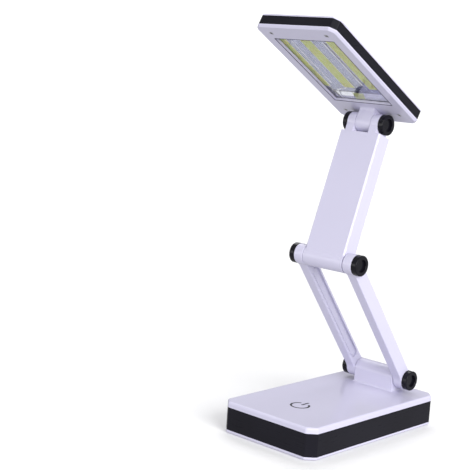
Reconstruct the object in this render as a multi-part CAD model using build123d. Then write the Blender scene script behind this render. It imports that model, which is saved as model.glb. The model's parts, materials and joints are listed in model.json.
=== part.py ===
from build123d import *
import math
import os

# Folding desk lamp, in mm. X runs along the hinges, +Y to the hinge end of the base, +Z up.
# The origin is the middle of the base, on the surface that the lamp stands on.
# Everything is built folded flat, then swung open about the three hinges to the rest pose.

# ---- driving dimensions: base
base_width = 85.0
base_length = 149.0
base_corner = 6.0
corner_round = 2.0
pad_proud = 0.5
lip_height = 2.0
base_band_height = 16.7
cover_height = 4.2
base_wall = 2.0
band_wall = 1.6
skirt_wall = 1.4
skirt_depth = 3.0
edge_round = 1.6
seam = 0.1

# ---- driving dimensions: hinges
base_hinge_inset = 17.0
base_hinge_rise = 10.3
lower_arm_length = 122.4
upper_arm_length = 104.1
barrel_radius = 7.5
cap_radius = 7.5
cap_thickness = 4.4
cap_recess_radius = 4.6
cap_recess_depth = 1.7
cap_edge = 0.6
cap_spigot_depth = 1.2
pivot_radius = 3.0
pivot_bore = 2.0
running_gap = 0.05
side_gap = 0.5
washer_thickness = 0.3
flange_radius = 5.0
flange_thickness = 1.0
friction_washer_radius = 6.0
spring_washer_radius = 4.6
spring_washer_thickness = 0.5
counterbore_radius = 5.6
counterbore_depth = 3.0
nut_radius = 4.6
nut_thickness = 1.5
pivot_end = 0.8
cap_spigot_wall = 1.2
cap_socket_depth = 1.8
hinge_wall = 3.2

# ---- driving dimensions: arms
panel_width = 35.7
panel_thickness = 13.7
panel_bevel = 1.0
rail_width = 8.1
rail_depth = 11.0
rail_blend = 8.0
rail_edge = 0.8
groove_width = 7.4
groove_depth = 2.2
groove_end = 13.0
strip_width = 5.0
strip_thickness = 1.2
panel_wall = 2.0
back_cover_thickness = 1.6
arm_lead_rise = 5.0
arm_lead_start = 6.0
arm_lead_rear = 9.0
arm_lead_front = 6.5
neck_width = 13.4
neck_gap = 0.4
knuckle_width = 6.6
knuckle_clearance = 0.1
notch_clearance = 1.25
shoulder_clearance = 1.1
cover_edge = 3.0
cover_rear = 5.0
cover_front = 4.0
cover_ledge = 1.6
cover_screw_inset = 6.0

# ---- driving dimensions: head
head_width = 69.5
head_front = 113.0
head_rear = 11.0
head_corner = 4.0
face_offset = 8.5
face_rim = 2.1
head_band_height = 6.8
back_height = 1.9
head_wall = 1.6
head_bevel = 1.3
neck_fillet = 2.4
window_width = 52.6
window_rear = 14.3
window_front = 98.2
window_corner = 0.6
ring_seam = 0.3
ring_wall = 0.6
ring_recess = 0.15
ring_flange = 1.4
ring_flange_thickness = 0.4
lens_thickness = 0.8
reflector_drop = 0.6
reflector_slope = 8.8
reflector_wall = 0.4
board_thickness = 1.2
board_gap = 0.05
strip_led_width = 9.0
strip_led_height = 0.5
strip_led_rear = 31.4
strip_led_front = 95.0
strip_led_pitch = 22.2
strip_led_offset = -3.2
strip_led_margin = 0.8
face_screw_x = 24.2
face_screw_rear = 0.8
face_screw_front = 104.4
neck_clearance = 0.3
neck_passage = 4.0
head_lead_rise = 2.0
head_lead_bend = 9.0
head_lead_end = 22.0

# ---- driving dimensions: inside the base
pad_thickness = 1.5
pad_inset_x = 12.0
pad_inset_y = 22.0
pad_corner = 4.0
pad_edge = 0.2
post_radius = 3.2
post_inset_x = 10.5
post_inset_y = 13.0
battery_radius = 9.15
battery_length = 65.0
battery_edge = 0.5
battery_y = 22.0
tab_thickness = 0.4
tab_width = 6.0
tab_rise = 2.0
cradle_wall = 1.6
cradle_spread = 6.0
cradle_inset = 6.0
weight_inset_x = 11.5
weight_length = 36.0
weight_thickness = 6.0
weight_corner = 3.0
weight_y = -30.0
weight_screw_inset = 10.5
board_width = 40.0
board_length = 26.0
control_board_thickness = 1.6
board_height = 6.0
board_screw_inset_x = 3.4
board_screw_inset_y = 4.4
chip_size = 5.0
chip_thickness = 1.5
coil_radius = 3.2
coil_height = 3.0
capacitor_size = 1.6
capacitor_height = 0.8
capacitor_pitch = 4.0
capacitor_row_x = -6.4
connector_size = 5.0
connector_height = 4.0

# ---- driving dimensions: screws
screw_head_radius = 2.4
screw_head_thickness = 1.6
flat_head_thickness = 0.7
face_screw_head = 1.7
face_screw_shank = 1.0
screw_radius = 1.3
screw_clearance = 0.05
screw_sink = 0.4
cross_reach = 0.55
cross_width = 0.6
cross_depth = 0.5
base_screw_length = 11.0
weight_screw_length = 6.4
board_screw_length = 6.0
cover_screw_length = 6.5
face_screw_length = 7.6
socket_width = 7.6
socket_height = 2.7
socket_depth = 5.4
socket_wall = 0.3
tongue_thickness = 0.6
tongue_inset = 0.8
indicator_x = -17.0
indicator_radius = 1.2
indicator_reach = 6.4
mark_y = -37.5
mark_radius = 7.4
mark_stroke = 1.5
mark_gap_angle = 64.0
mark_tick = 8.0
mark_depth = 0.3
mark_proud = 0.02
electrode_radius = 9.0
electrode_thickness = 0.2
lead_radius = 0.7
lead_rib = 0.6

# ---- rest pose: how far each hinge stands open from the folded lamp, in degrees
base_open_angle = 51.6
middle_open_angle = 122.1
head_open_angle = 100.2

# ---- worked out from the above
band_bottom = pad_proud + lip_height
band_top = band_bottom + base_band_height
base_top = band_top + cover_height
hinge_y = base_length / 2 - base_hinge_inset
hinge_z = base_top + base_hinge_rise
middle_y = hinge_y - lower_arm_length
head_y = middle_y + upper_arm_length
panel_half = panel_width / 2
rail_inner = panel_half + side_gap
rail_outer = rail_inner + rail_width
weight_width = base_width - 2 * weight_inset_x
face_z = hinge_z + face_offset
head_band_z = face_z + face_rim
head_back_z = head_band_z + head_band_height
head_top_z = head_back_z + back_height
head_length = head_front + head_rear
head_mid_y = head_y + head_rear - head_length / 2
neck_half = neck_width / 2
knuckle_inner = neck_half + neck_gap
knuckle_outer = knuckle_inner + knuckle_width

os.makedirs("parts", exist_ok=True)


# ---- helpers
def block(x0, x1, y0, y1, z0, z1):
    """A box between two corners."""
    return Pos((x0 + x1) / 2, (y0 + y1) / 2, (z0 + z1) / 2) * Box(x1 - x0, y1 - y0, z1 - z0)


def disc(radius, z0, z1, x=0.0, y=0.0):
    """An upright cylinder."""
    return Pos(x, y, (z0 + z1) / 2) * Cylinder(radius, z1 - z0)


def axle(radius, x0, x1, y, z):
    """A cylinder along X."""
    return Pos((x0 + x1) / 2, y, z) * Rot(0, 90, 0) * Cylinder(radius, x1 - x0)


def slab(width, length, corner, z0, z1, y=0.0, rounding=corner_round):
    """An upright prism whose outline is a rectangle with cut, slightly rounded corners."""
    plan = Rectangle(width, length)
    plan = chamfer(plan.vertices(), corner)
    plan = fillet(plan.vertices(), rounding)
    return Pos(0, y, z0) * extrude(plan, z1 - z0)


def inset_slab(width, length, corner, inset, z0, z1, y=0.0):
    """The same outline, drawn in all round by inset."""
    cut = corner - inset * (2 - math.sqrt(2))
    rounding = max(corner_round - inset, corner_round / 4)
    return slab(width - 2 * inset, length - 2 * inset, cut, z0, z1, y, rounding)


def rounded_top(shape, radius):
    """Rounds the outer edge of a slab's top face."""
    return fillet(shape.faces().sort_by(Axis.Z)[-1].outer_wire().edges(), radius)


def rounded_bottom(shape, radius):
    """Rounds the outer edge of a slab's bottom face."""
    return fillet(shape.faces().sort_by(Axis.Z)[0].outer_wire().edges(), radius)


def group(shapes):
    """Several separate solids in one node."""
    return Compound(children=list(shapes))


def swing(shape, y, z, degrees):
    """Turns a shape about the hinge line at y, z."""
    return shape.rotate(Axis((0, y, z), (1, 0, 0)), degrees)


def on_base(shape):
    return shape


def on_lower_arm(shape):
    return swing(shape, hinge_y, hinge_z, -base_open_angle)


def on_upper_arm(shape):
    return on_lower_arm(swing(shape, middle_y, hinge_z, middle_open_angle))


def on_head(shape):
    return on_upper_arm(swing(shape, head_y, hinge_z, -head_open_angle))


def save(shape, name, place=on_base):
    placed = place(shape)
    placed.label = name
    export_step(placed, f"parts/{name}.step")


def lead(points, radius=lead_radius):
    """A thin lead along straight runs joined by arcs."""
    path = FilletPolyline(*points, radius=2.2 * radius)
    start = Plane(origin=path @ 0, z_dir=path % 0)
    return sweep(start * Circle(radius), path=path)


# ---- base
def screw_places():
    """The four corners where the base is screwed together."""
    for x in (-1, 1):
        for y in (-1, 1):
            yield x * (base_width / 2 - post_inset_x), y * (base_length / 2 - post_inset_y)


def power_mark(z0, z1, grow=0):
    """A ring with a gap at the rear, and a tick that stands in the gap."""
    ring = Circle(mark_radius + grow) - Circle(mark_radius - mark_stroke - grow)
    half = math.radians(mark_gap_angle / 2)
    reach = 2 * mark_radius
    side = reach * math.tan(half) - grow
    gap = make_face(Polyline((0, grow), (side, reach + grow), (-side, reach + grow), close=True))
    tick_start = mark_radius - mark_tick / 2 - mark_stroke
    tick = Pos(0, tick_start + mark_tick / 2) * Rectangle(mark_stroke + 2 * grow, mark_tick + 2 * grow)
    plan = (ring - gap) + tick
    return Pos(0, mark_y, z0) * extrude(plan, z1 - z0)


def hinge_block():
    """The pedestal on the base that the lower arm turns on, up to the hinge barrel."""
    foot_z = base_top - base_wall / 2
    body = axle(barrel_radius, -panel_half, panel_half, hinge_y, hinge_z)
    body += block(-panel_half, panel_half, hinge_y - barrel_radius, hinge_y + barrel_radius, foot_z, hinge_z)
    return body


def base_top_cover():
    cover = rounded_top(slab(base_width, base_length, base_corner, band_top, base_top), edge_round)
    body = cover + hinge_block()
    foot_edges = [e for e in body.edges().filter_by(GeomType.LINE)
                  if abs(e.center().Z - base_top) < 0.01 and abs(e.center().X) < panel_half + 0.01
                  and abs(e.center().Y - hinge_y) < barrel_radius + 0.01]
    body = fillet(foot_edges, edge_round)
    skirt_inset = band_wall + seam
    skirt = inset_slab(base_width, base_length, base_corner, skirt_inset, band_top - skirt_depth,
                       band_top + base_wall / 2)
    hollow = inset_slab(base_width, base_length, base_corner, skirt_inset + skirt_wall,
                        band_top - skirt_depth, base_top - base_wall)
    body = body + skirt - hollow
    inner = barrel_radius - base_wall
    wall_x = panel_half - hinge_wall
    body -= axle(inner, -wall_x, wall_x, hinge_y, hinge_z)
    body -= block(-wall_x, wall_x, hinge_y - inner, hinge_y + inner, base_top - 2 * base_wall, hinge_z)
    body -= axle(pivot_radius + running_gap, -panel_half - 1, panel_half + 1, hinge_y, hinge_z)
    for x, y in screw_places():
        body += disc(post_radius, band_bottom + screw_sink + seam, base_top - base_wall / 2, x, y)
        body -= disc(screw_radius + screw_clearance, band_bottom - 1, base_top - 2 * base_wall, x, y)
    body -= power_mark(base_top - mark_depth, base_top + 1, seam / 2)
    return body


def base_side_band():
    ring = slab(base_width, base_length, base_corner, band_bottom + seam / 2, band_top - seam / 2)
    ring -= inset_slab(base_width, base_length, base_corner, band_wall, band_bottom - 1, band_top + 1)
    rear = base_length / 2
    clear = 2 * seam
    mouth = Pos(0, rear, socket_z()) * Box(socket_width + 4 * clear, 4 * band_wall, socket_height + 4 * clear)
    mouth = fillet(mouth.edges().filter_by(Axis.Y), socket_height / 3)
    ring -= mouth
    ring -= Pos(indicator_x, rear, socket_z()) * Rot(90, 0, 0) * Cylinder(indicator_radius + seam / 2,
                                                                          4 * band_wall)
    return ring


def socket_z():
    """The height of the middle of the charging socket."""
    return band_bottom + board_height + control_board_thickness + socket_height / 2


def battery_z():
    return band_bottom + battery_radius + seam


def board_y():
    """The middle of the control board, whose rear edge stands inside the band."""
    return base_length / 2 - band_wall - skirt_wall - seam - board_length / 2


def base_bottom_cover():
    plate = rounded_bottom(slab(base_width, base_length, base_corner, pad_proud, band_bottom), edge_round / 2)
    skirt_inset = band_wall + seam
    skirt = inset_slab(base_width, base_length, base_corner, skirt_inset, pad_proud + 1,
                       band_bottom + skirt_depth)
    skirt -= inset_slab(base_width, base_length, base_corner, skirt_inset + skirt_wall, band_bottom,
                        band_bottom + 2 * skirt_depth)
    body = plate + skirt
    for x, y in screw_places():
        body += disc(post_radius, pad_proud + base_wall / 2, band_bottom + screw_sink, x, y)
        body -= disc(screw_head_radius + screw_clearance, 0, base_screw_z() + screw_head_thickness, x, y)
        body -= disc(screw_radius + screw_clearance, 0, band_bottom + 1, x, y)
    body -= pad(seam, 0)
    floor = band_bottom - lip_height / 4
    for x, y in board_screw_places():
        body += disc(post_radius - seam, floor, band_bottom + board_height, x, y)
        body -= disc(screw_radius + screw_clearance, band_bottom, band_bottom + board_height + 1, x, y)
    reach = battery_length / 2 - cradle_inset
    for side in (-1, 1):
        rib_y = battery_y + side * cradle_spread
        body += block(-reach, reach, rib_y - cradle_wall / 2, rib_y + cradle_wall / 2, floor, battery_z())
    reach = battery_length / 2 + 1
    body -= axle(battery_radius + seam, -reach, reach, battery_y, battery_z())
    for x in weight_screw_places():
        body += disc(post_radius, floor, weight_ledge(), x, weight_y)
        body -= disc(screw_radius + screw_clearance, band_bottom, weight_ledge() + 1, x, weight_y)
    return body


def pad(grow, z0):
    """The sheet that the base stands on, in a shallow recess."""
    plan = RectangleRounded(base_width - 2 * pad_inset_x + 2 * grow, base_length - 2 * pad_inset_y + 2 * grow,
                            pad_corner + grow)
    return Pos(0, 0, z0) * extrude(plan, pad_thickness - z0)


def base_pad():
    return chamfer(pad(0.0, 0.0).faces().sort_by(Axis.Z)[0].edges(), pad_edge)


def screw(length, head, x, y, z, up=True, head_radius=screw_head_radius, shank=screw_radius):
    """A screw with a cross recess; z is the outer face of its head."""
    body = disc(head_radius, 0, head) + disc(shank, head / 2, length)
    cross = 2 * cross_reach * head_radius
    body -= Box(cross, cross_width, 2 * cross_depth) + Box(cross_width, cross, 2 * cross_depth)
    return Pos(x, y, z) * (body if up else Rot(180, 0, 0) * body)


def base_screw_z():
    return pad_proud + screw_sink


def base_screws():
    return group(screw(base_screw_length, screw_head_thickness, x, y, base_screw_z())
                 for x, y in screw_places())


def battery_cell():
    cell = axle(battery_radius, -battery_length / 2, battery_length / 2, battery_y, battery_z())
    return chamfer(cell.edges().filter_by(GeomType.CIRCLE), battery_edge)


def battery_tabs():
    tabs = []
    for side in (-1, 1):
        x = side * battery_length / 2
        outer = x + side * tab_thickness
        tabs.append(block(min(x, outer), max(x, outer), battery_y - tab_width / 2, battery_y + tab_width / 2,
                          battery_z() - tab_width / 2, battery_z() + tab_width / 2 + tab_rise))
    return group(tabs)


def weight_screw_places():
    reach = weight_width / 2 - weight_screw_inset
    return [-reach, reach]


def weight_ledge():
    """How high the posts reach into the weight from below."""
    return band_bottom + weight_thickness * 0.8


def weight_plate():
    top = band_bottom + weight_thickness
    plate = slab(weight_width, weight_length, weight_corner, band_bottom, top, weight_y, corner_round / 4)
    for x in weight_screw_places():
        plate -= disc(post_radius + seam, band_bottom - 1, weight_ledge() + seam, x, weight_y)
        plate -= disc(screw_radius + seam, band_bottom, top + 1, x, weight_y)
    return plate


def weight_screws():
    head_z = band_bottom + weight_thickness + screw_head_thickness
    return group(screw(weight_screw_length, screw_head_thickness, x, weight_y, head_z, up=False)
                 for x in weight_screw_places())


def board_screw_places():
    for x in (-1, 1):
        yield x * (board_width / 2 - board_screw_inset_x), board_y() - board_length / 2 + board_screw_inset_y


def control_board():
    z0 = band_bottom + board_height
    half = board_length / 2
    board = block(-board_width / 2, board_width / 2, board_y() - half, board_y() + half,
                  z0, z0 + control_board_thickness)
    for x, y in board_screw_places():
        board -= disc(screw_radius + seam, z0 - 1, z0 + control_board_thickness + 1, x, y)
    return board


def board_screws():
    head_z = band_bottom + board_height + control_board_thickness + screw_head_thickness
    return group(screw(board_screw_length, screw_head_thickness, x, y, head_z, up=False)
                 for x, y in board_screw_places())


def board_top():
    return band_bottom + board_height + control_board_thickness


def board_parts():
    """Two chips, a coil, a row of capacitors and a lead connector, soldered on the control board."""
    z0 = board_top()
    y = board_y()
    half = chip_size / 2
    parts = []
    for x in (-board_width / 20, board_width / 5):
        parts.append(block(x - half, x + half, y - half, y + half, z0, z0 + chip_thickness))
    parts.append(disc(coil_radius, z0, z0 + coil_height, -board_width / 3, y))
    for step in range(4):
        x = capacitor_row_x + step * capacitor_pitch
        front = y - board_length * 0.4
        parts.append(block(x, x + capacitor_size, front, front + capacitor_size / 2,
                           z0, z0 + capacitor_height))
    x, y, top = connector_place()
    half = connector_size / 2
    parts.append(block(x - half, x + half, y - half, y + half, z0, top))
    return group(parts)


def connector_place():
    """The middle of the lead connector's top face."""
    return board_width * 0.35, board_y() + connector_size, board_top() + connector_height


def charge_socket():
    """A small charging socket: a shell open to the rear, with a tongue inside."""
    rear = base_length / 2 - band_wall / 2
    z = socket_z()
    y = rear - socket_depth / 2
    shell = Pos(0, y, z) * Box(socket_width, socket_depth, socket_height)
    shell = fillet(shell.edges().filter_by(Axis.Y), socket_height / 4)
    hollow = Pos(0, y + 2 * socket_wall, z) * Box(socket_width - 2 * socket_wall, socket_depth,
                                                  socket_height - 2 * socket_wall)
    shell -= hollow
    tongue = block(-socket_width / 3, socket_width / 3, rear - socket_depth + socket_wall / 2,
                   rear - tongue_inset, z - tongue_thickness / 2, z + tongue_thickness / 2)
    return shell + tongue


def indicator_guide():
    """A clear light guide that shows at the rear of the band."""
    rear = base_length / 2
    z = socket_z()
    reach = indicator_reach
    guide = Pos(indicator_x, rear - reach / 2, z) * Rot(90, 0, 0) * Cylinder(indicator_radius, reach)
    half = 0.8 * indicator_radius
    guide += block(indicator_x - half, indicator_x + half, rear - reach - 2 * half, rear - reach + half,
                   board_top(), z + indicator_radius)
    return guide


def touch_electrode():
    return disc(electrode_radius, base_top - base_wall - electrode_thickness, base_top - base_wall, 0, mark_y)


def touch_lead():
    top = base_top - base_wall - electrode_thickness
    run_z = base_top - base_wall - lead_radius - lead_rib
    end_x, end_y = board_width / 4, board_y() - chip_size
    inner_x = base_width / 2 - band_wall - seam - skirt_wall
    side_x = (battery_length / 2 + tab_thickness + inner_x) / 2
    drop = 3 * lead_radius
    return lead([(electrode_radius / 2, mark_y, top), (electrode_radius / 2, mark_y, run_z - drop),
                 (side_x, mark_y + 2 * electrode_radius, run_z - drop),
                 (side_x, end_y - chip_size, run_z - drop),
                 (end_x, end_y, board_top() + connector_height), (end_x, end_y, board_top())],
                0.8 * lead_radius)


def base_lead():
    """The lead from the control board up into the hinge block and out along the hinge line."""
    x, y, top = connector_place()
    return lead([(x, y, top), (x, y, top + connector_height), (x * 0.6, hinge_y, hinge_z - cap_radius),
                 (x * 0.4, hinge_y, hinge_z), (-panel_half + hinge_wall, hinge_y, hinge_z)])


# ---- hinge parts shared by the three hinges
def hinge_cap(side, x_inner, y, z, socket_radius, socket_depth, spigot_radius, spigot_depth):
    """A round cap: a recessed outer face, and a spigot or a socket on the inside."""
    x_outer = x_inner + cap_thickness
    cap = axle(cap_radius, x_inner, x_outer, y, z)
    cap = fillet(cap.edges().filter_by(GeomType.CIRCLE).sort_by(Axis.X)[-1], cap_edge)
    cap -= axle(cap_recess_radius, x_outer - cap_recess_depth, x_outer + 1, y, z)
    rim = cap.edges().filter_by(GeomType.CIRCLE).filter_by(lambda e: abs(e.radius - cap_recess_radius) < 0.01)
    cap = fillet(rim.sort_by(Axis.X)[-1], cap_edge / 2)
    if spigot_depth:
        ring = axle(spigot_radius, x_inner - spigot_depth, x_inner + seam, y, z)
        cap += ring - axle(spigot_radius - cap_spigot_wall, x_inner - 1 - spigot_depth, x_inner, y, z)
    if socket_depth:
        cap -= axle(socket_radius, x_inner - 1, x_inner + socket_depth, y, z)
    return cap if side > 0 else mirror(cap, about=Plane.YZ)


def both_sides(make):
    """A group of a piece on the +X side and its mirror image."""
    piece = make()
    return group([piece, mirror(piece, about=Plane.YZ)])


def arm_hinge(y, name):
    """The pivots, washers, nuts and caps where the two rails hold a barrel between them."""
    z = hinge_z
    floor_x = rail_outer - counterbore_depth
    flange_x = floor_x + spring_washer_thickness
    wall_x = panel_half - hinge_wall
    nut_x = wall_x - side_gap / 2

    def pivot():
        tube = axle(pivot_radius, nut_x - nut_thickness - pivot_end, flange_x + flange_thickness, y, z)
        tube += axle(flange_radius, flange_x, flange_x + flange_thickness, y, z)
        return tube - axle(pivot_bore, 0, rail_outer + 1, y, z)

    def washer(radius, x0, x1):
        return axle(radius, x0, x1, y, z) - axle(pivot_radius + running_gap, x0 - 1, x1 + 1, y, z)

    def nut():
        flats = extrude(RegularPolygon(nut_radius, 6), nut_thickness)
        body = Pos(nut_x - nut_thickness, y, z) * Rot(0, 90, 0) * flats
        return body - axle(pivot_radius + running_gap, 0, rail_outer, y, z)

    gap_x = rail_inner - (side_gap - washer_thickness) / 2
    friction = washer(friction_washer_radius, gap_x - washer_thickness, gap_x)
    spring = washer(spring_washer_radius, floor_x, flange_x)
    save(both_sides(pivot), f"{name}_pivots", on_lower_arm)
    save(both_sides(nut), f"{name}_nuts", on_lower_arm)
    save(group([friction, mirror(friction, about=Plane.YZ), spring, mirror(spring, about=Plane.YZ)]),
         f"{name}_washers", on_lower_arm)
    caps = [hinge_cap(side, rail_outer, y, z, 0, 0, counterbore_radius - seam, cap_spigot_depth)
            for side in (1, -1)]
    save(group(caps), f"{name}_caps", on_lower_arm)


# ---- lower arm
def rail():
    """One side rail, on the +X side: round ends, and a groove along its inner side."""
    depth = rail_depth / 2
    plan = Circle(barrel_radius) + Pos(0, -lower_arm_length) * Circle(barrel_radius)
    plan += Pos(0, -lower_arm_length / 2) * Rectangle(rail_depth, lower_arm_length)
    corners = [v for v in plan.vertices() if abs(abs(v.X) - depth) < 0.01
               and -lower_arm_length < v.Y < 0]
    plan = fillet(corners, rail_blend)
    body = Pos(rail_inner, hinge_y, hinge_z) * Rot(0, 90, 0) * extrude(plan, rail_width)
    rims = body.faces().filter_by(Axis.X)
    body = fillet([e for f in rims for e in f.outer_wire().edges()], rail_edge)
    for y in (hinge_y, middle_y):
        body -= axle(pivot_radius + running_gap, rail_inner - 1, rail_outer + 1, y, hinge_z)
        body -= axle(counterbore_radius, rail_outer - counterbore_depth, rail_outer + 1, y, hinge_z)
    return body - groove(groove_width, groove_depth)


def groove(width, depth):
    """The long slot along a rail's inner side."""
    length = lower_arm_length - 2 * groove_end
    middle = hinge_y - lower_arm_length / 2
    plan = SlotOverall(length, width, rotation=90)
    tool = Pos(rail_inner, middle, hinge_z) * Rot(0, 90, 0) * extrude(plan, depth)
    sunk = tool.faces().sort_by(Axis.X)[-1].edges()
    mouth = Pos(rail_inner - depth, middle, hinge_z) * Rot(0, 90, 0) * extrude(plan, depth)
    return fillet(sunk, depth / 2) + mouth


def rail_strip():
    """The rounded strip that covers the lead in a rail's groove."""
    length = lower_arm_length - 2 * groove_end - (groove_width - strip_width)
    middle = hinge_y - lower_arm_length / 2
    plan = SlotOverall(length, strip_width, rotation=90)
    base_x = rail_inner + groove_depth
    body = Pos(base_x - strip_thickness, middle, hinge_z) * Rot(0, 90, 0) * extrude(plan, strip_thickness)
    return fillet(body.faces().sort_by(Axis.X)[0].edges(), strip_thickness * 0.7)


# ---- upper arm
def panel_shape():
    """The panel's outer shape, with the barrel at the middle hinge and the notch at the head hinge."""
    half = panel_thickness / 2
    end_y = head_y - cap_radius - shoulder_clearance
    panel = block(-panel_half, panel_half, middle_y, end_y, hinge_z - half, hinge_z + half)
    panel = chamfer(panel.edges().filter_by(Axis.Y), panel_bevel)
    body = panel + axle(barrel_radius, -panel_half, panel_half, middle_y, hinge_z)
    knuckles = axle(barrel_radius - knuckle_clearance, -knuckle_outer, knuckle_outer, head_y, hinge_z)
    knuckles += block(-knuckle_outer, knuckle_outer, end_y - 1, head_y, hinge_z - half, hinge_z + half)
    body += knuckles
    notch_y = head_y - barrel_radius - notch_clearance
    body -= block(-knuckle_inner, knuckle_inner, notch_y, head_y + 2 * barrel_radius,
                  hinge_z - 2 * barrel_radius, hinge_z + 2 * barrel_radius)
    return body


def cover_plan(inset, z0, z1):
    """The panel's back opening, drawn in by inset."""
    y0 = middle_y + barrel_radius + cover_rear + inset
    y1 = head_y - barrel_radius - notch_clearance - cover_front - inset
    half = panel_half - cover_edge - inset
    return block(-half, half, y0, y1, z0, z1)


def upper_arm_housing():
    half = panel_thickness / 2
    body = panel_shape()
    inner_x = panel_half - hinge_wall
    back_z = hinge_z - half
    body -= cover_plan(0.0, back_z - 1, back_z + back_cover_thickness)
    body -= cover_plan(cover_ledge, back_z - 1, hinge_z + half - panel_wall)
    barrel_inner = barrel_radius - panel_wall
    body -= axle(barrel_inner, -inner_x, inner_x, middle_y, hinge_z)
    for y in (middle_y, head_y):
        body -= axle(pivot_radius + running_gap, -panel_half - 1, panel_half + 1, y, hinge_z)
    body -= block(-pivot_bore, pivot_bore, middle_y, head_y, hinge_z - pivot_bore, hinge_z + pivot_bore)
    for x, y in cover_screw_places():
        body += disc(post_radius, back_z + back_cover_thickness, hinge_z + half - panel_wall / 2, x, y)
        body -= disc(screw_radius + screw_clearance, back_z, hinge_z + half - panel_wall, x, y)
    return body


def cover_screw_places():
    y0 = middle_y + barrel_radius + cover_rear + cover_screw_inset
    y1 = head_y - barrel_radius - notch_clearance - cover_front - cover_screw_inset
    for x in (-1, 1):
        for y in (y0, y1):
            yield x * (panel_half - cover_edge - cover_screw_inset), y


def upper_arm_cover():
    back_z = hinge_z - panel_thickness / 2
    plate = cover_plan(seam, back_z, back_z + back_cover_thickness)
    for x, y in cover_screw_places():
        plate -= disc(screw_head_radius + seam, back_z - 1, back_z + seam + flat_head_thickness, x, y)
        plate -= disc(screw_radius + seam, back_z, back_z + back_cover_thickness + 1, x, y)
    return plate


def upper_arm_screws():
    back_z = hinge_z - panel_thickness / 2
    return group(screw(cover_screw_length, flat_head_thickness, x, y, back_z + seam)
                 for x, y in cover_screw_places())


def upper_arm_lead():
    """From the middle hinge line, through the panel, to the head hinge's notch."""
    y0 = middle_y + barrel_radius + arm_lead_rear
    y1 = head_y - barrel_radius - notch_clearance - arm_lead_front
    wall_z = hinge_z + panel_thickness / 2 - panel_wall - lead_radius - seam / 2
    return lead([(-arm_lead_start, middle_y, hinge_z), (0, middle_y, hinge_z), (0, y0, hinge_z),
                 (0, y0 + arm_lead_rise, wall_z), (0, y1 - arm_lead_rise, wall_z), (0, y1, hinge_z)])


# ---- head hinge: a hollow shaft with a cap on each end, free in the neck and in the knuckles
def head_hinge():
    reach = knuckle_outer + cap_socket_depth - seam
    shaft = axle(pivot_radius, -reach, reach, head_y, hinge_z)
    shaft -= axle(pivot_bore, -reach - 1, reach + 1, head_y, hinge_z)
    save(shaft, "head_hinge_shaft", on_head)
    caps = [hinge_cap(side, knuckle_outer + seam, head_y, hinge_z, pivot_radius + running_gap,
                      cap_socket_depth, 0, 0) for side in (1, -1)]
    save(group(caps), "head_hinge_caps", on_head)
    middle = (neck_half + knuckle_inner) / 2
    thin = neck_gap / 2
    washer = axle(flange_radius, middle - thin / 2, middle + thin / 2, head_y, hinge_z)
    washer -= axle(pivot_radius + running_gap, middle - 1, middle + 1, head_y, hinge_z)
    save(group([washer, mirror(washer, about=Plane.YZ)]), "head_hinge_washers", on_head)


# ---- head
def head_slab(inset, z0, z1):
    return inset_slab(head_width, head_length, head_corner, inset, z0, z1, head_mid_y)


def window_box(grow, z0, z1):
    """The face's window opening, widened by grow."""
    half = window_width / 2 + grow
    return block(-half, half, head_y - window_front - grow, head_y - window_rear + grow, z0, z1)


def light_box(inset_x, inset_y, z0, z1):
    """The space that the board and its strips fill behind the frame, drawn in by the insets."""
    half = strip_led_pitch + strip_led_width / 2 - strip_led_offset + strip_led_margin - inset_x
    y0 = head_y - window_front - ring_flange + inset_y
    y1 = head_y - window_rear + ring_flange - inset_y
    return block(-half, half, y0, y1, z0, z1)


def underside(shape):
    """The lowest flat face of a shape."""
    return shape.faces().sort_by(Axis.Z)[0]


def face_screw_places():
    for x in (-1, 1):
        for reach in (face_screw_rear, face_screw_front):
            yield x * face_screw_x, head_y - reach


def head_face_frame():
    """The face with its window, and the neck that goes down between the knuckles."""
    inner_z = face_z + head_wall
    face = head_slab(0.0, face_z, head_band_z)
    face = chamfer(face.faces().sort_by(Axis.Z)[0].outer_wire().edges(), head_bevel)
    skirt_inset = head_wall + seam
    body = face + head_slab(skirt_inset, inner_z, head_band_z + skirt_depth / 2)
    body -= head_slab(skirt_inset + skirt_wall, inner_z, head_back_z)
    neck_radius = barrel_radius - neck_clearance
    neck = axle(neck_radius, -neck_half, neck_half, head_y, hinge_z)
    neck += block(-neck_half, neck_half, head_y - neck_radius, head_y + neck_radius, hinge_z,
                  face_z + head_wall / 2)
    body += neck
    feet = [e for e in body.edges().filter_by(GeomType.LINE).filter_by(Axis.X)
            if abs(e.center().Z - face_z) < 0.01 and abs(e.center().Y - head_y) < neck_radius + 0.01
            and e.length < neck_width + 0.01]
    front = [e for e in feet if e.center().Y < head_y]
    body = fillet(front, neck_fillet)
    body -= axle(pivot_radius + running_gap, -neck_half - 1, neck_half + 1, head_y, hinge_z)
    hole = neck_passage / 2
    body -= block(-hole, hole, head_y - hole, head_y + hole, hinge_z, inner_z + 1)
    opening = window_box(0, face_z - 1, inner_z + 1)
    body -= fillet(opening.edges().filter_by(Axis.Z), window_corner)
    for x, y in face_screw_places():
        body += disc(post_radius, face_z + head_wall / 2, head_back_z - seam, x, y)
        head_end = face_z + seam + flat_head_thickness
        body -= disc(face_screw_head + screw_clearance, face_z - 1, head_end, x, y)
        body -= disc(face_screw_shank + screw_clearance, face_z - 1, head_back_z + 1, x, y)
    return body


def head_side_band():
    ring = slab(head_width, head_length, head_corner, head_band_z + seam / 2, head_back_z - seam / 2,
                head_mid_y)
    return ring - head_slab(head_wall, head_band_z - 1, head_back_z + 1)


def head_back_cover():
    body = head_slab(0.0, head_back_z, head_top_z)
    body = chamfer(body.faces().sort_by(Axis.Z)[-1].outer_wire().edges(), head_bevel)
    skirt_inset = head_wall + seam
    skirt = head_slab(skirt_inset, head_back_z - skirt_depth / 2, head_back_z + seam)
    skirt -= head_slab(skirt_inset + skirt_wall, head_back_z - skirt_depth, head_back_z + seam)
    return body + skirt


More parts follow.
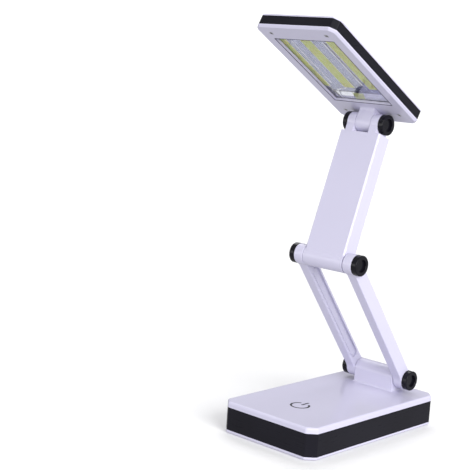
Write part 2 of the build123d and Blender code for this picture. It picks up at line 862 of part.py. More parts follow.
def face_screws():
    return group(screw(face_screw_length, flat_head_thickness, x, y, face_z + seam,
                       head_radius=face_screw_head, shank=face_screw_shank)
                 for x, y in face_screw_places())


def ring_back():
    """The height of the window ring's inner side, behind the frame."""
    return face_z + head_wall + seam / 2 + ring_flange_thickness


def window_ring():
    """The rim that lines the window's opening, with a flange behind the frame."""
    rim = window_box(-ring_seam, face_z + ring_recess, ring_back())
    rim = fillet(rim.edges().filter_by(Axis.Z), window_corner)
    rim += window_box(ring_flange, ring_back() - ring_flange_thickness, ring_back())
    return rim - window_box(-ring_seam - ring_wall, face_z, ring_back() + 1)


def window_lens():
    """A clear plate behind the window ring."""
    return window_box(ring_flange, lens_back() - lens_thickness, lens_back())


def lens_back():
    return ring_back() + seam / 2 + lens_thickness


def reflector():
    """A shallow silvered tray round the light strips, with a long slope at the hinge end."""
    z0 = lens_back() + board_gap
    z1 = board_face()
    rim = ring_flange + ring_seam + ring_wall
    floor = light_box(reflector_wall, rim, z1, z1 + 1)
    slope_y = head_y - window_rear + ring_flange - rim - reflector_slope
    floor = split(floor, Plane.XZ.offset(-slope_y), keep=Keep.TOP)
    opening = underside(light_box(reflector_wall, rim, z0, z1))
    return light_box(0, 0, z0, z1) - loft([opening, underside(floor)])


def board_face():
    """The height of the board's front, which the strips lie on."""
    return lens_back() + board_gap + reflector_drop


def led_board():
    return light_box(0, 0, board_face(), board_face() + board_thickness)


def led_strips():
    """Three long light strips, side by side on the board."""
    z1 = board_face()
    strips = []
    for step in (-1, 0, 1):
        x = step * strip_led_pitch + strip_led_offset
        strip = block(x - strip_led_width / 2, x + strip_led_width / 2, head_y - strip_led_front,
                      head_y - strip_led_rear, z1 - strip_led_height, z1)
        strips.append(fillet(strip.faces().sort_by(Axis.Z)[0].edges(), strip_led_height / 2))
    return group(strips)


def head_lead():
    board_back = board_face() + board_thickness
    end_y = head_y - head_lead_end
    run_z = board_back + head_lead_rise
    start_z = hinge_z + pivot_radius + lead_rib
    return lead([(0, head_y, start_z), (0, head_y, run_z - lead_rib), (0, head_y - head_lead_bend, run_z),
                 (0, end_y, run_z), (0, end_y, board_back)])


def make_base():
    save(base_top_cover(), "base_top_cover")
    save(base_side_band(), "base_side_band")
    save(base_bottom_cover(), "base_bottom_cover")
    save(power_mark(base_top - mark_depth, base_top + mark_proud), "power_mark")
    save(base_pad(), "base_pad")
    save(base_screws(), "base_screws")
    save(battery_cell(), "battery_cell")
    save(battery_tabs(), "battery_tabs")
    save(weight_plate(), "weight_plate")
    save(weight_screws(), "weight_screws")
    save(control_board(), "control_board")
    save(board_screws(), "board_screws")
    save(board_parts(), "board_parts")
    save(charge_socket(), "charge_socket")
    save(indicator_guide(), "indicator_guide")
    save(touch_electrode(), "touch_electrode")
    save(touch_lead(), "touch_lead")
    save(base_lead(), "base_lead")


def make_lower_arm():
    right = rail()
    save(right, "right_rail", on_lower_arm)
    save(mirror(right, about=Plane.YZ), "left_rail", on_lower_arm)
    save(both_sides(rail_strip), "rail_strips", on_lower_arm)
    arm_hinge(hinge_y, "base_hinge")
    arm_hinge(middle_y, "middle_hinge")


def make_upper_arm():
    save(upper_arm_housing(), "upper_arm_housing", on_upper_arm)
    save(upper_arm_cover(), "upper_arm_cover", on_upper_arm)
    save(upper_arm_screws(), "upper_arm_screws", on_upper_arm)
    save(upper_arm_lead(), "upper_arm_lead", on_upper_arm)


def make_head():
    save(head_face_frame(), "head_face_frame", on_head)
    save(head_side_band(), "head_side_band", on_head)
    save(head_back_cover(), "head_back_cover", on_head)
    save(face_screws(), "face_screws", on_head)
    save(window_ring(), "window_ring", on_head)
    save(window_lens(), "window_lens", on_head)
    save(reflector(), "reflector", on_head)
    save(led_board(), "led_board", on_head)
    save(led_strips(), "led_strips", on_head)
    save(head_lead(), "head_lead", on_head)


make_base()
make_lower_arm()
make_upper_arm()
head_hinge()
make_head()
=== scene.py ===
"""The folding desk lamp, dressed for a photograph: materials, small details, floor, light and camera."""

import json
import math

import bmesh
import bpy
from mathutils import Matrix, Vector


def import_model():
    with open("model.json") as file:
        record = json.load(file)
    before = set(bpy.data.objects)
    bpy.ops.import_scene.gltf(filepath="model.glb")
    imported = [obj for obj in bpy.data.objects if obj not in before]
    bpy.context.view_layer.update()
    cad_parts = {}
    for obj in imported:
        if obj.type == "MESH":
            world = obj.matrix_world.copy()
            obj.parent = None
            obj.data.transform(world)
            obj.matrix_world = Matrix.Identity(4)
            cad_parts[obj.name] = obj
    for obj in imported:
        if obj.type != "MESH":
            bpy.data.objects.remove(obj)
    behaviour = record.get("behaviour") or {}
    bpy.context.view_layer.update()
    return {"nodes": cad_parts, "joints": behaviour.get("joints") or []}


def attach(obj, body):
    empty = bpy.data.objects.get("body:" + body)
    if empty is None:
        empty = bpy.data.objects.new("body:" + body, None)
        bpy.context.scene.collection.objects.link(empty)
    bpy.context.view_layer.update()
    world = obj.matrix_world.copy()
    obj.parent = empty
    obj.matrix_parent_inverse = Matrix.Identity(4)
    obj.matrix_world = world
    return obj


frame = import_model()
nodes = frame["nodes"]
joints = {j["name"]: j for j in frame["joints"]}

MM = 0.001


# ---------------------------------------------------------------- node helpers
class Shade:
    """A material being built: a Principled shader and short names for the nodes that feed it."""

    def __init__(self, name, **fixed):
        self.mat = bpy.data.materials.new(name)
        self.mat.use_nodes = True
        self.tree = self.mat.node_tree
        self.tree.nodes.clear()
        self.out = self.add("ShaderNodeOutputMaterial")
        self.bsdf = self.add("ShaderNodeBsdfPrincipled")
        self.link(self.bsdf.outputs[0], self.out.inputs[0])
        for key, value in fixed.items():
            self.bsdf.inputs[key.replace("_", " ")].default_value = value
        self.coords = self.add("ShaderNodeTexCoord").outputs["Object"]
        self.height = None

    def add(self, kind, **settings):
        node = self.tree.nodes.new(kind)
        for key, value in settings.items():
            setattr(node, key, value)
        return node

    def link(self, a, b):
        self.tree.links.new(a, b)

    def stretched(self, x, y, z, turn=0.0):
        """The object's coordinates, scaled along each axis after a turn about X."""
        node = self.add("ShaderNodeMapping", vector_type="TEXTURE")
        node.inputs["Rotation"].default_value = (turn, 0, 0)
        node.inputs["Scale"].default_value = (x, y, z)
        self.link(self.coords, node.inputs["Vector"])
        return node.outputs[0]

    def noise(self, size, detail=3.0, rough=0.5, coords=None):
        """Noise whose features are about size metres across."""
        node = self.add("ShaderNodeTexNoise")
        node.inputs["Scale"].default_value = 1.0 / size
        node.inputs["Detail"].default_value = detail
        node.inputs["Roughness"].default_value = rough
        self.link(coords or self.coords, node.inputs["Vector"])
        return node.outputs["Fac"]

    def cells(self, size, feature="F1", coords=None):
        node = self.add("ShaderNodeTexVoronoi", feature=feature)
        node.inputs["Scale"].default_value = 1.0 / size
        self.link(coords or self.coords, node.inputs["Vector"])
        return node.outputs["Distance"]

    def span(self, value, low, high, start=0.0, end=1.0):
        """Value, mapped from start..end to low..high."""
        node = self.add("ShaderNodeMapRange")
        node.inputs["From Min"].default_value = start
        node.inputs["From Max"].default_value = end
        node.inputs["To Min"].default_value = low
        node.inputs["To Max"].default_value = high
        self.link(value, node.inputs["Value"])
        return node.outputs[0]

    def math(self, kind, a, b):
        node = self.add("ShaderNodeMath", operation=kind)
        for socket, value in zip(node.inputs, (a, b)):
            if isinstance(value, (int, float)):
                socket.default_value = value
            else:
                self.link(value, socket)
        return node.outputs[0]

    def mix(self, factor, a, b):
        node = self.add("ShaderNodeMix", data_type="RGBA")
        self.link(factor, node.inputs["Factor"])
        for socket, colour in ((node.inputs["A"], a), (node.inputs["B"], b)):
            if isinstance(colour, tuple):
                socket.default_value = (*colour, 1.0)
            else:
                self.link(colour, socket)
        return node.outputs["Result"]

    def colour(self, value):
        self.link(value, self.bsdf.inputs["Base Color"])

    def roughness(self, value):
        self.link(value, self.bsdf.inputs["Roughness"])

    def bump(self, value, depth, strength=1.0):
        """Adds a bump of depth metres; several bumps are chained."""
        node = self.add("ShaderNodeBump")
        node.inputs["Strength"].default_value = strength
        node.inputs["Distance"].default_value = depth
        self.link(value, node.inputs["Height"])
        if self.height:
            self.link(self.height, node.inputs["Normal"])
        self.height = node.outputs[0]
        self.link(self.height, self.bsdf.inputs["Normal"])


def tint(colour, factor):
    return tuple(min(1.0, c * factor) for c in colour)


# ---------------------------------------------------------------- materials
WHITE = (0.575, 0.558, 0.703)
BLACK = (0.0078, 0.0074, 0.0115)


def white_plastic(name="white_gloss_plastic", colour=WHITE, rough=0.12):
    """Glossy moulded plastic: faint flow marks, handling smudges and a very fine surface ripple."""
    m = Shade(name, IOR=1.5, Specular_IOR_Level=0.25)
    flow = m.noise(38 * MM, detail=2.0)
    fine = m.noise(3.2 * MM, detail=4.0, rough=0.6)
    m.colour(m.mix(m.span(flow, 0.0, 1.0, 0.3, 0.7), tint(colour, 0.985), colour))
    smudge = m.math("MULTIPLY", m.span(fine, 0.0, 1.0, 0.3, 0.7), m.span(flow, 0.5, 1.0))
    m.roughness(m.span(smudge, rough, rough + 0.06))
    m.bump(m.noise(9 * MM, detail=1.0), 0.012 * MM, 0.12)
    m.bump(m.noise(0.3 * MM, detail=2.0), 0.002 * MM, 0.2)
    return m.mat


def black_plastic(name="black_gloss_plastic", rough=0.26):
    """Glossy black plastic with hairline scratches along its length and fine dust."""
    m = Shade(name, IOR=1.5, Specular_IOR_Level=0.11)
    hair = m.noise(1.0 * MM, detail=5.0, rough=0.7, coords=m.stretched(14.0, 14.0, 0.35))
    dust = m.span(m.cells(1.9 * MM), 1.0, 0.0, 0.0, 0.06)
    base = m.mix(m.span(m.noise(30 * MM), 0.0, 1.0, 0.3, 0.7), BLACK, tint(BLACK, 1.35))
    m.colour(m.mix(m.math("MULTIPLY", dust, 0.35), base, (0.10, 0.10, 0.11)))
    m.roughness(m.span(hair, rough, rough + 0.2, 0.35, 0.75))
    m.bump(hair, 0.004 * MM, 0.25)
    m.bump(m.noise(8 * MM, detail=1.0), 0.012 * MM, 0.15)
    return m.mat


def cap_plastic():
    """Satin black plastic with a fine moulded grain."""
    m = Shade("cap_black_plastic", IOR=1.5, Specular_IOR_Level=0.16)
    grain = m.noise(0.35 * MM, detail=3.0)
    m.colour(m.mix(m.span(m.noise(5 * MM), 0.0, 1.0, 0.3, 0.7), tint(BLACK, 0.65), tint(BLACK, 1.05)))
    m.roughness(m.span(grain, 0.07, 0.13, 0.3, 0.7))
    m.bump(grain, 0.004 * MM, 0.3)
    return m.mat


def ink():
    m = Shade("power_mark_ink", IOR=1.45, Specular_IOR_Level=0.15)
    speck = m.noise(0.4 * MM, detail=3.0)
    m.colour(m.mix(m.span(speck, 0.0, 1.0, 0.3, 0.7), (0.008, 0.008, 0.012), (0.02, 0.02, 0.027)))
    m.roughness(m.span(speck, 0.35, 0.55))
    m.bump(speck, 0.006 * MM, 0.5)
    return m.mat


def steel(name, colour=(0.56, 0.56, 0.58), rough=0.28, along=(1.0, 1.0, 12.0)):
    m = Shade(name, Metallic=1.0)
    brush = m.noise(0.25 * MM, detail=4.0, rough=0.7, coords=m.stretched(*along))
    m.colour(m.mix(m.span(brush, 0.0, 1.0, 0.3, 0.7), tint(colour, 0.82), colour))
    m.roughness(m.span(brush, rough - 0.08, rough + 0.16, 0.25, 0.75))
    m.bump(brush, 0.004 * MM, 0.5)
    return m.mat


def rubber():
    m = Shade("pad_rubber", IOR=1.5, Specular_IOR_Level=0.3)
    grain = m.noise(0.5 * MM, detail=4.0)
    m.colour(m.mix(grain, (0.016, 0.016, 0.017), (0.035, 0.034, 0.034)))
    m.roughness(m.span(grain, 0.7, 0.92))
    m.bump(m.cells(0.9 * MM), 0.05 * MM, 0.6)
    return m.mat


def clear_plastic():
    """The window: clear, with a trace of tint, faint flow and hairline wear."""
    m = Shade("clear_window_plastic", IOR=1.49, Transmission_Weight=1.0)
    hair = m.noise(0.8 * MM, detail=5.0, rough=0.7, coords=m.stretched(0.5, 12.0, 12.0, math.radians(30)))
    m.colour(m.mix(m.noise(20 * MM), (0.955, 0.965, 0.985), (0.985, 0.99, 1.0)))
    m.roughness(m.span(hair, 0.008, 0.05, 0.4, 0.8))
    m.bump(m.noise(11 * MM, detail=1.0), 0.02 * MM, 0.25)
    return m.mat


def silvered():
    """Vacuum-silvered plastic: mirror bright, slightly wavy."""
    m = Shade("silvered_reflector", Metallic=1.0)
    wave = m.noise(9 * MM, detail=2.0)
    m.colour(m.mix(m.noise(3 * MM), (0.70, 0.71, 0.76), (0.82, 0.83, 0.88)))
    m.roughness(m.span(wave, 0.05, 0.14, 0.3, 0.7))
    m.bump(wave, 0.05 * MM, 0.5)
    return m.mat


def mirror_board():
    """The board behind the strips, with a blue-grey mirror finish."""
    m = Shade("mirror_board", Metallic=1.0)
    wave = m.noise(14 * MM, detail=2.0)
    m.colour(m.mix(m.noise(5 * MM), (0.20, 0.22, 0.37), (0.29, 0.31, 0.48)))
    m.roughness(m.span(wave, 0.2, 0.3, 0.3, 0.7))
    m.bump(wave, 0.04 * MM, 0.5)
    m.bump(m.noise(0.5 * MM), 0.003 * MM, 0.5)
    return m.mat


def phosphor():
    """Yellow phosphor gel over rows of tiny chips."""
    m = Shade("phosphor_gel", IOR=1.41, Specular_IOR_Level=0.2, Subsurface_Weight=0.25,
              Subsurface_Scale=0.6 * MM)
    chips = m.cells(1.5 * MM)
    cloud = m.noise(4 * MM, detail=3.0)
    gel = m.mix(m.span(cloud, 0.0, 1.0, 0.3, 0.7), (0.50, 0.56, 0.035), (0.58, 0.62, 0.06))
    m.colour(m.mix(m.span(chips, 1.0, 0.0, 0.0, 0.42), gel, (0.64, 0.66, 0.12)))
    m.roughness(m.span(cloud, 0.32, 0.5))
    m.bump(chips, 0.06 * MM, 0.35)
    m.bump(m.noise(0.4 * MM), 0.01 * MM, 0.5)
    return m.mat


def board(name="circuit_board_green", colour=(0.02, 0.12, 0.045)):
    m = Shade(name, IOR=1.5)
    track = m.cells(2.4 * MM, feature="DISTANCE_TO_EDGE")
    line = m.span(track, 1.0, 0.0, 0.04, 0.10)
    m.colour(m.mix(line, colour, tint(colour, 1.9)))
    m.roughness(m.span(m.noise(1 * MM), 0.3, 0.45))
    m.bump(line, 0.03 * MM, 0.6)
    return m.mat


def chip():
    m = Shade("chip_plastic", IOR=1.5)
    grain = m.noise(0.2 * MM, detail=3.0)
    m.colour(m.mix(grain, (0.012, 0.012, 0.013), (0.03, 0.03, 0.032)))
    m.roughness(m.span(grain, 0.45, 0.65))
    m.bump(grain, 0.008 * MM, 0.6)
    return m.mat


def jacket(name="lead_jacket", colour=(0.25, 0.02, 0.02)):
    m = Shade(name, IOR=1.45)
    grain = m.noise(0.6 * MM, detail=3.0)
    m.colour(m.mix(grain, colour, tint(colour, 1.4)))
    m.roughness(m.span(grain, 0.35, 0.5))
    m.bump(grain, 0.01 * MM, 0.5)
    return m.mat


def wrap():
    m = Shade("battery_wrap", IOR=1.5, Coat_Weight=0.3, Coat_Roughness=0.15)
    crease = m.noise(5 * MM, detail=3.0, coords=m.stretched(6.0, 1.0, 1.0))
    m.colour(m.mix(crease, (0.015, 0.12, 0.07), (0.03, 0.19, 0.11)))
    m.roughness(m.span(crease, 0.2, 0.35))
    m.bump(crease, 0.05 * MM, 0.4)
    return m.mat


white = white_plastic()
black = black_plastic()
caps = cap_plastic()
screw_steel = steel("screw_steel", (0.50, 0.50, 0.53), 0.3)
pin_steel = steel("pin_steel", (0.58, 0.58, 0.6), 0.25, along=(12.0, 1.0, 1.0))
weight_steel = steel("weight_steel", (0.42, 0.42, 0.44), 0.4, along=(1.0, 14.0, 1.0))
nickel = steel("nickel_plate", (0.66, 0.63, 0.58), 0.26, along=(8.0, 1.0, 1.0))
copper = steel("copper_foil", (0.80, 0.42, 0.25), 0.3, along=(1.0, 8.0, 1.0))
clear = clear_plastic()

FINISH = {
    white: ["base_top_cover", "base_bottom_cover", "right_rail", "left_rail", "rail_strips",
            "upper_arm_housing", "upper_arm_cover", "head_face_frame", "head_back_cover", "window_ring"],
    black: ["base_side_band", "head_side_band"],
    caps: ["base_hinge_caps", "middle_hinge_caps", "head_hinge_caps"],
    ink(): ["power_mark"],
    screw_steel: ["base_screws", "weight_screws", "board_screws", "upper_arm_screws", "face_screws",
                  "base_hinge_nuts", "middle_hinge_nuts", "base_hinge_washers", "middle_hinge_washers"],
    pin_steel: ["base_hinge_pivots", "middle_hinge_pivots", "head_hinge_shaft"],
    weight_steel: ["weight_plate"],
    nickel: ["battery_tabs", "charge_socket"],
    copper: ["touch_electrode"],
    clear: ["window_lens", "indicator_guide"],
    silvered(): ["reflector"],
    mirror_board(): ["led_board"],
    phosphor(): ["led_strips"],
    board(): ["control_board"],
    chip(): ["board_parts"],
    jacket(): ["touch_lead", "base_lead", "upper_arm_lead", "head_lead"],
    wrap(): ["battery_cell"],
    white_plastic("washer_plastic", (0.62, 0.61, 0.58), 0.4): ["head_hinge_washers"],
}
if "base_pad" in nodes:
    FINISH[rubber()] = ["base_pad"]
for material, names in FINISH.items():
    for name in names:
        for place in nodes[name].material_slots:
            place.material = material



def painted_shade_and_jacket():
    """Dull dark grey with a fine grain: painted shade for the window bead and the board's shadow lines, and
    the dark wires' own jacket colour.
    """
    m = Shade("painted_shade_and_jacket", IOR=1.45, Specular_IOR_Level=0.2)
    grain = m.noise(0.3 * MM, detail=3.0)
    m.colour(m.mix(grain, (0.055, 0.052, 0.085), (0.085, 0.08, 0.12)))
    m.roughness(m.span(grain, 0.5, 0.7))
    m.bump(grain, 0.01 * MM, 0.5)
    return m.mat


def solder():
    m = Shade("solder", Metallic=1.0)
    frost = m.noise(0.5 * MM, detail=3.0)
    m.colour(m.mix(frost, (0.62, 0.62, 0.64), (0.82, 0.82, 0.84)))
    m.roughness(m.span(frost, 0.12, 0.3))
    m.bump(frost, 0.02 * MM, 0.6)
    return m.mat


def painted_reflection():
    """Pale yellow, faintly creased: a painted reflection of the yellow strips in the mirror slope."""
    m = Shade("yellow_painted_reflection", IOR=1.5, Specular_IOR_Level=0.3)
    crease = m.noise(1.6 * MM, detail=3.0, coords=m.stretched(3.0, 1.0, 1.0))
    m.colour(m.mix(crease, (0.60, 0.64, 0.26), (0.72, 0.74, 0.40)))
    m.roughness(m.span(crease, 0.25, 0.45))
    m.bump(crease, 0.03 * MM, 0.5)
    return m.mat


# ---------------------------------------------------------------- small pieces behind the window
HEAD_RISE = math.radians(29.7)
FACE_OFFSET = 8.5
HINGE = Vector(joints["head_tilt"]["pos_m"])
ALONG = Vector((0.0, -math.cos(HEAD_RISE), math.sin(HEAD_RISE)))
INWARD = Vector((0.0, math.sin(HEAD_RISE), math.cos(HEAD_RISE)))
WINDOW_HALF, WINDOW_REAR, WINDOW_FRONT = 26.3, 14.3, 98.2
RIM_DEPTH, RIM_WIDTH = 0.15, 0.9
BOARD_DEPTH = 3.55
SLOPE_REAR, SLOPE_FRONT, SLOPE_DEPTH = 15.2, 24.0, 2.95
STRIP_CENTRES = (-25.4, -3.2, 19.0)
STRIP_HALF, STRIP_REAR, STRIP_FRONT = 4.5, 31.4, 95.0


def in_head(x, along, depth):
    """A point of the head: across, along from the hinge line, and behind the face, in millimetres."""
    return HINGE + (Vector((x, 0.0, 0.0)) + ALONG * along + INWARD * (FACE_OFFSET + depth)) * MM


def slope_depth(along):
    """The depth of the reflector's slope at a distance from the hinge line."""
    share = min(1.0, max(0.0, (along - SLOPE_REAR) / (SLOPE_FRONT - SLOPE_REAR)))
    return SLOPE_DEPTH + (BOARD_DEPTH - SLOPE_DEPTH) * share


def ridge(width, height):
    """A low rounded section, as (sideways, outward) offsets."""
    half = width / 2
    return [(-half, 0.0), (-half * 0.85, height * 0.6), (-half * 0.45, height), (half * 0.45, height),
            (half * 0.85, height * 0.6), (half, 0.0)]


def round_section(radius, sides=10):
    turns = [2 * math.pi * i / sides for i in range(sides)]
    return [(radius * math.cos(t), radius + radius * math.sin(t)) for t in turns]


def sweep(build, path, section, closed=False):
    """Adds a bar along a path of (x, along, depth) points, with mitred corners."""
    count = len(path)
    rings = []
    for i, (x, along, depth) in enumerate(path):
        here = Vector((x, along))
        sides = []
        for j, k in ((i - 1, i), (i, i + 1)):
            if closed or (j >= 0 and k < count):
                step = Vector(path[k % count][:2]) - Vector(path[j % count][:2])
                step.normalize()
                sides.append(Vector((-step.y, step.x)))
        mitre = sides[0] if len(sides) == 1 else (sides[0] + sides[1]) / (1.0 + sides[0].dot(sides[1]))
        places = [(here + mitre * across, depth - out) for across, out in section]
        rings.append([build.verts.new(in_head(spot.x, spot.y, deep)) for spot, deep in places])
    size = len(section)
    for i in range(count if closed else count - 1):
        a, b = rings[i], rings[(i + 1) % count]
        for j in range(size):
            build.faces.new((a[j], a[(j + 1) % size], b[(j + 1) % size], b[j]))
    if not closed:
        build.faces.new(rings[0])
        build.faces.new(rings[-1])


def loop(half, rear, front, radius, centre=0.0, depth=0.0, steps=4):
    """A rounded rectangle's corners, as a closed path."""
    path = []
    corners = ((1, front, 0), (-1, front, 90), (-1, rear, 180), (1, rear, 270))
    for side, end, start in corners:
        inward = -1 if end == front else 1
        for i in range(steps + 1):
            a = math.radians(start + 90 * i / steps)
            path.append((centre + side * (half - radius) + radius * math.cos(a),
                         end + inward * radius + radius * math.sin(a), depth))
    return path


def blob(build, x, along, depth, radius, height, sides=14):
    """A solder joint: a low dome with a spread foot."""
    profile = [(1.0, 0.0), (0.82, 0.2), (0.66, 0.55), (0.45, 0.85), (0.2, 0.98)]
    rings = []
    for reach, rise in profile:
        ring = []
        for i in range(sides):
            a = 2 * math.pi * i / sides
            ring.append(build.verts.new(in_head(x + radius * reach * math.cos(a),
                                                along + radius * reach * math.sin(a), depth - height * rise)))
        rings.append(ring)
    for low, high in zip(rings, rings[1:]):
        for i in range(sides):
            build.faces.new((low[i], low[(i + 1) % sides], high[(i + 1) % sides], high[i]))
    build.faces.new(rings[0])
    build.faces.new(rings[-1])


def head_piece(name, build, material):
    bmesh.ops.recalc_face_normals(build, faces=build.faces)
    mesh = bpy.data.meshes.new(name)
    build.to_mesh(mesh)
    build.free()
    mesh.materials.append(material)
    made = bpy.data.objects.new(name, mesh)
    bpy.context.scene.collection.objects.link(made)
    for face in mesh.polygons:
        face.use_smooth = True
    mesh.set_sharp_from_angle(angle=math.radians(50))
    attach(made, "head")


def window_shade_bead():
    """A dark bead over the window ring's rim: painted shade for the shadow gap round the window."""
    build = bmesh.new()
    middle = RIM_WIDTH / 2
    path = loop(WINDOW_HALF - middle, WINDOW_REAR + middle, WINDOW_FRONT - middle, 0.5, depth=RIM_DEPTH)
    sweep(build, path, ridge(RIM_WIDTH - 0.06, 0.12), closed=True)
    head_piece("window_shade_bead", build, shade_and_jacket_grey)


def strip_dams():
    """A low silicone ridge round each light strip, and two printed white lines beside them."""
    build = bmesh.new()
    for centre in STRIP_CENTRES:
        path = loop(STRIP_HALF + 0.2, STRIP_REAR - 0.2, STRIP_FRONT + 0.2, 0.5, centre, BOARD_DEPTH)
        sweep(build, path, ridge(0.4, 0.3), closed=True)
    for x, width in ((10.4, 1.1), (-16.9, 0.9)):
        sweep(build, [(x, 35.5, BOARD_DEPTH), (x, 91.0, BOARD_DEPTH)], ridge(width, 0.2))
    head_piece("strip_dams", build, white_print)


def board_shade_lines():
    """Dark lines on the board: painted shade for the shadows beside the strips and at the board's rear edge.
    """
    build = bmesh.new()
    lines = [((11.9, 36.0), (11.9, 91.0), 1.3), ((1.9, 30.0), (1.9, 42.0), 0.9),
             ((-23.0, 24.8), (3.0, 24.8), 1.4), ((3.0, 24.8), (19.0, 24.8), 0.8)]
    for (x0, u0), (x1, u1), width in lines:
        sweep(build, [(x0, u0, BOARD_DEPTH), (x1, u1, BOARD_DEPTH)], ridge(width, 0.06))
    head_piece("board_shade_lines", build, shade_and_jacket_grey)


def slope_reflection_patch():
    """A thin pale yellow patch on the reflector's slope, over the strips' feed: a painted reflection of the
    strips.
    """
    build = bmesh.new()
    lift, thick = 0.01, 0.04
    corners = ((-6.4, 15.9), (1.9, 15.9), (3.9, 23.2), (-6.0, 23.2))
    rings = []
    for rise in (lift, lift + thick):
        rings.append([build.verts.new(in_head(x, along, slope_depth(along) - rise)) for x, along in corners])
    for i in range(4):
        build.faces.new((rings[0][i], rings[0][(i + 1) % 4], rings[1][(i + 1) % 4], rings[1][i]))
    build.faces.new(rings[0])
    build.faces.new(rings[1])
    head_piece("slope_reflection_patch", build, painted_reflection())


def feed_wires():
    """Short wires from the slope to the strips' rear ends, with their solder joints."""
    spots = ((-23.0, 25.8), (-17.2, 25.8))
    build = bmesh.new()
    for x, along in spots:
        blob(build, x, along, BOARD_DEPTH, 1.1, 0.45)
    blob(build, -7.6, 29.6, BOARD_DEPTH, 0.8, 0.4)
    blob(build, -22.4, 30.2, BOARD_DEPTH, 0.8, 0.4)
    head_piece("feed_joints", build, solder())
    radius = 0.27
    pale = ([(-17.0, 25.4), (-13.4, 28.6), (-10.2, 29.9), (-7.8, 29.7)],
            [(-18.6, 15.6), (-18.3, 19.0), (-17.4, 22.4), (-17.2, 25.4)])
    dark = ([(-23.0, 25.8), (-22.4, 28.0), (-22.5, 30.0)],
            [(-24.0, 15.6), (-23.9, 19.5), (-23.2, 22.4), (-23.0, 25.4)],
            [(-20.8, 15.6), (-21.0, 20.0), (-22.0, 23.6), (-22.7, 25.4)])
    for name, wires, material in (("feed_wire_pale", pale, white_print), ("feed_wire_dark", dark, shade_and_jacket_grey)):
        build = bmesh.new()
        for wire in wires:
            sweep(build, [(x, along, slope_depth(along) - 0.02) for x, along in wire], round_section(radius))
        head_piece(name, build, material)


# Dark grey for the painted shade pieces and the dark wires' jacket.
shade_and_jacket_grey = painted_shade_and_jacket()
white_print = white_plastic("white_print", (0.80, 0.79, 0.90), 0.35)
# Painted shade: a dark bead for the shadow gap round the window.
window_shade_bead()
strip_dams()
# Painted shade: dark lines for the shadows beside the strips and along the board's rear edge.
board_shade_lines()
# Painted reflection: a pale yellow patch for the strips' reflection in the slope.
slope_reflection_patch()
feed_wires()


# ---------------------------------------------------------------- stage, light, camera
def floor():
    mesh = bpy.data.meshes.new("floor")
    build = bmesh.new()
    reach, back, rise, bend = 30.0, 2.6, 3.4, 1.2
    profile = [(-reach, 0.0), (back - bend, 0.0)]
    steps = 24
    for i in range(1, steps + 1):
        a = math.radians(90 * i / steps)
        profile.append((back - bend + bend * math.sin(a), bend - bend * math.cos(a)))
    profile.append((back, rise))
    rows = [[build.verts.new((x, y, z)) for y, z in profile] for x in (-reach, reach)]
    for i in range(len(profile) - 1):
        build.faces.new((rows[0][i], rows[1][i], rows[1][i + 1], rows[0][i + 1]))
    build.to_mesh(mesh)
    build.free()
    piece = bpy.data.objects.new("floor", mesh)
    bpy.context.scene.collection.objects.link(piece)
    for face in mesh.polygons:
        face.use_smooth = True
    m = Shade("floor_paper", Specular_IOR_Level=0.1)
    m.colour(m.mix(m.noise(60 * MM, detail=2.0), (0.90, 0.90, 0.905), (0.92, 0.92, 0.925)))
    m.roughness(m.span(m.noise(20 * MM), 0.75, 0.9))
    mesh.materials.append(m.mat)
    turn = math.radians(CAMERA_AZIMUTH)
    piece.matrix_world = Matrix.Rotation(turn, 4, "Z") @ Matrix.Translation((0, 0, -0.0002))
    piece.visible_diffuse = False
    piece.visible_glossy = False


def area(name, place, aim, size, power, colour=(1.0, 1.0, 1.0)):
    lamp = bpy.data.lights.new(name, "AREA")
    lamp.shape = "RECTANGLE"
    lamp.size, lamp.size_y = size
    lamp.energy = power
    lamp.color = colour
    holder = bpy.data.objects.new(name, lamp)
    holder.location = place
    holder.rotation_mode = "QUATERNION"
    holder.rotation_quaternion = (Vector(aim) - Vector(place)).to_track_quat("-Z", "Y")
    bpy.context.scene.collection.objects.link(holder)


CAMERA_AZIMUTH, CAMERA_ELEVATION, CAMERA_ROLL = 42.475, 8.774, 3.911
CAMERA_PLACE = (0.52571, -0.69375, 0.27417)
CAMERA_FOCAL_PIXELS = 1197.937
FRAME_PIXELS = 470
SENSOR = 36.0


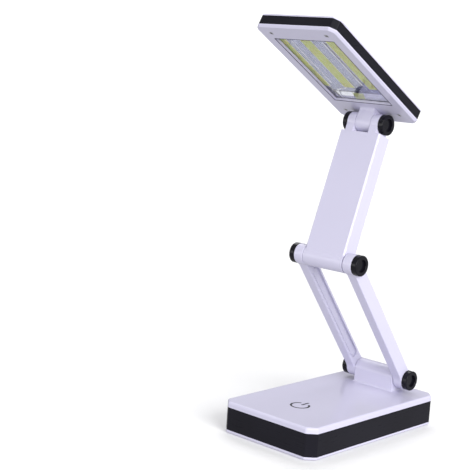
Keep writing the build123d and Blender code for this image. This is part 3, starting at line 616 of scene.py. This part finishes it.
def camera():
    a, e, r = (math.radians(v) for v in (CAMERA_AZIMUTH, CAMERA_ELEVATION, CAMERA_ROLL))
    back = Vector((math.sin(a) * math.cos(e), -math.cos(a) * math.cos(e), math.sin(e)))
    right = Vector((math.cos(a), math.sin(a), 0.0))
    up = back.cross(right)
    side = right * math.cos(r) + up * math.sin(r)
    top = up * math.cos(r) - right * math.sin(r)
    data = bpy.data.cameras.new("camera")
    data.sensor_width = SENSOR
    data.lens = CAMERA_FOCAL_PIXELS / FRAME_PIXELS * SENSOR
    data.clip_start, data.clip_end = 0.01, 50.0
    holder = bpy.data.objects.new("camera", data)
    turn = Matrix((side, top, back)).transposed()
    holder.matrix_world = Matrix.Translation(CAMERA_PLACE) @ turn.to_4x4()
    bpy.context.scene.collection.objects.link(holder)
    bpy.context.scene.camera = holder


def world():
    """Even studio light, a little brighter from below, as from a white table."""
    sky = bpy.data.worlds.new("studio")
    bpy.context.scene.world = sky
    sky.use_nodes = True
    tree = sky.node_tree
    ground = tree.nodes["Background"]
    ground.inputs["Color"].default_value = (0.985, 0.985, 1.0, 1.0)
    direction = tree.nodes.new("ShaderNodeTexCoord")
    parts = tree.nodes.new("ShaderNodeSeparateXYZ")
    level = tree.nodes.new("ShaderNodeMapRange")
    for key, value in (("From Min", -0.3), ("From Max", 0.3), ("To Min", WORLD_BELOW),
                       ("To Max", WORLD_ABOVE)):
        level.inputs[key].default_value = value
    tree.links.new(direction.outputs["Generated"], parts.inputs[0])
    tree.links.new(parts.outputs["Z"], level.inputs["Value"])
    tree.links.new(level.outputs[0], ground.inputs["Strength"])


WORLD_BELOW, WORLD_ABOVE = 0.7, 0.5
world()
floor()
camera()
area("key", (2.0, -0.7, 0.92), (0, 0, 0.12), (1.4, 1.4), 54.0)
area("fill", (-1.0, -2.0, 0.35), (0, 0, 0.12), (1.6, 0.8), 10.0)
area("front", (1.35, -1.5, 0.5), (0, 0, 0.12), (0.14, 0.45), 7.0)
area("top", (0.1, 0.2, 2.2), (0, 0, 0.1), (2.0, 2.0), 4.0)
area("back", (-1.2, 1.3, 1.9), (-1.2, 1.3, 0.0), (2.4, 1.6), 30.0)
bpy.context.scene.view_settings.view_transform = "Standard"
bpy.context.scene.view_settings.look = "None"
